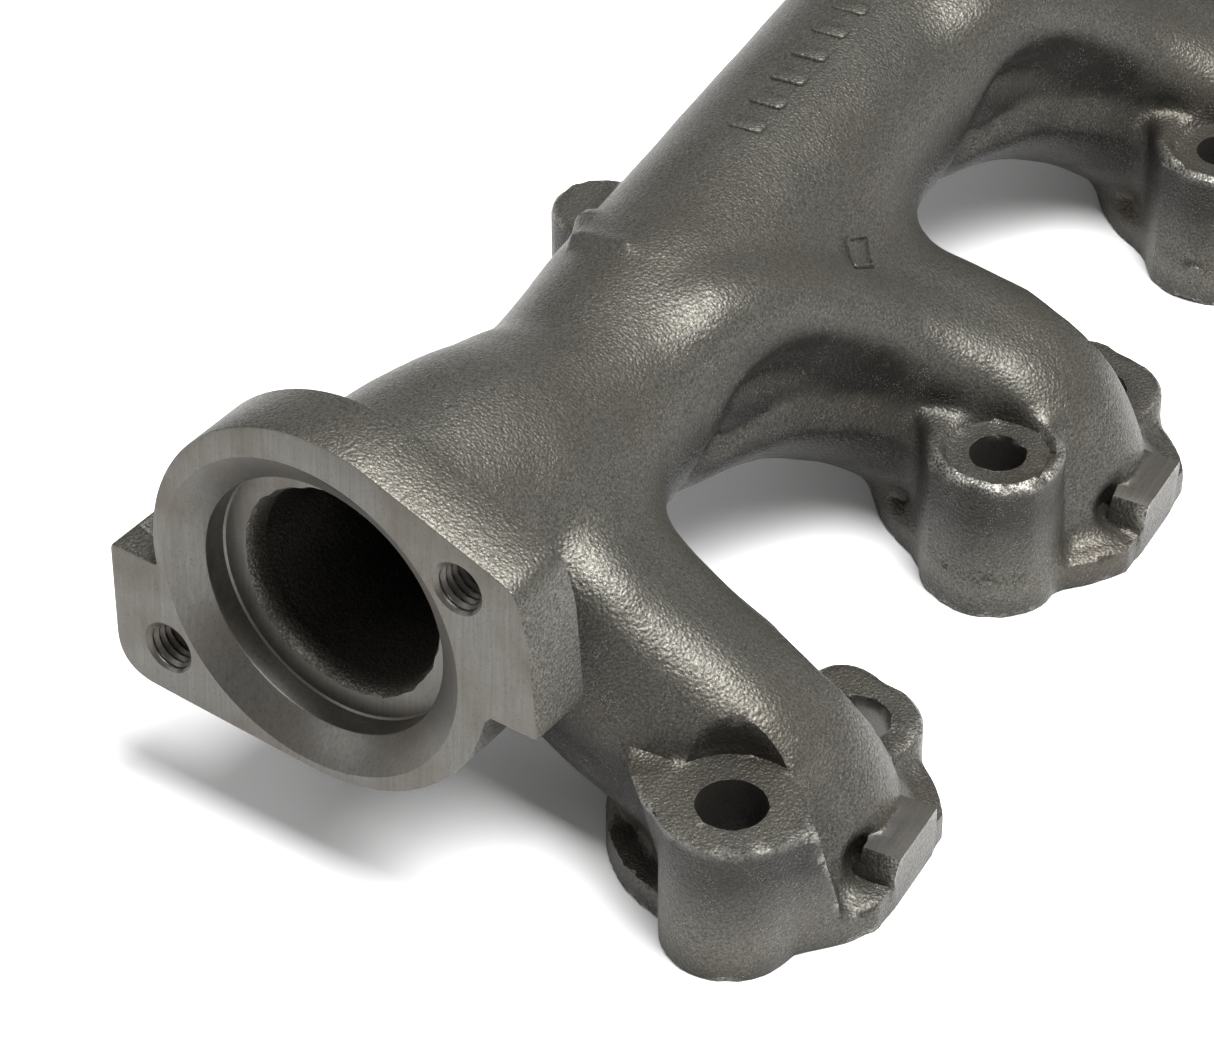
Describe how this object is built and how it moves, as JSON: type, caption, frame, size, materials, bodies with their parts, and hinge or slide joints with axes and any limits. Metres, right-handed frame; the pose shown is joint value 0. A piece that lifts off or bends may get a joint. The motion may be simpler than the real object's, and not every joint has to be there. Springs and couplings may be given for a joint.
{
  "type": "exhaust manifold",
  "caption": "Cast-iron engine exhaust manifold: curved runners rise from bolted port flanges into a round log that ends in a two-ear outlet flange with a conical seat.",
  "frame": {"origin": "centre of the part's bounding box in X and Y, on the plane of the port faces", "axes": "+X along the port line, from the outlet end to the far end; +Y from the ports towards the log; +Z away from the cylinder head, along the bolts"},
  "size_m": [0.4228, 0.1394, 0.095],
  "materials": {
    "cast_iron": "as-cast, sand-grained, dark warm grey",
    "machined_iron": "machined, mid grey with fine cutter marks"
  },
  "bodies": {
    "root": {"outlet_flange": "machined_iron", "outlet_neck": "cast_iron", "log_section_1": "cast_iron", "log_section_2": "cast_iron", "log_section_3": "cast_iron", "runner_1": "cast_iron", "runner_2": "cast_iron", "runner_3": "cast_iron", "runner_4": "cast_iron", "port_flange_1": "cast_iron", "port_flange_2": "cast_iron", "port_flange_3": "cast_iron", "port_flange_4": "cast_iron", "bolt_boss_1": "cast_iron", "bolt_boss_2": "cast_iron", "bolt_boss_3": "cast_iron", "bolt_boss_4": "cast_iron", "bolt_ear_1": "cast_iron", "bolt_ear_2": "cast_iron", "bolt_ear_3": "cast_iron", "bolt_ear_4": "cast_iron", "locating_lug_1": "machined_iron", "locating_lug_2": "machined_iron", "locating_lug_3": "machined_iron", "locating_lug_4": "machined_iron", "back_boss": "cast_iron"}
  },
  "joints": []
}
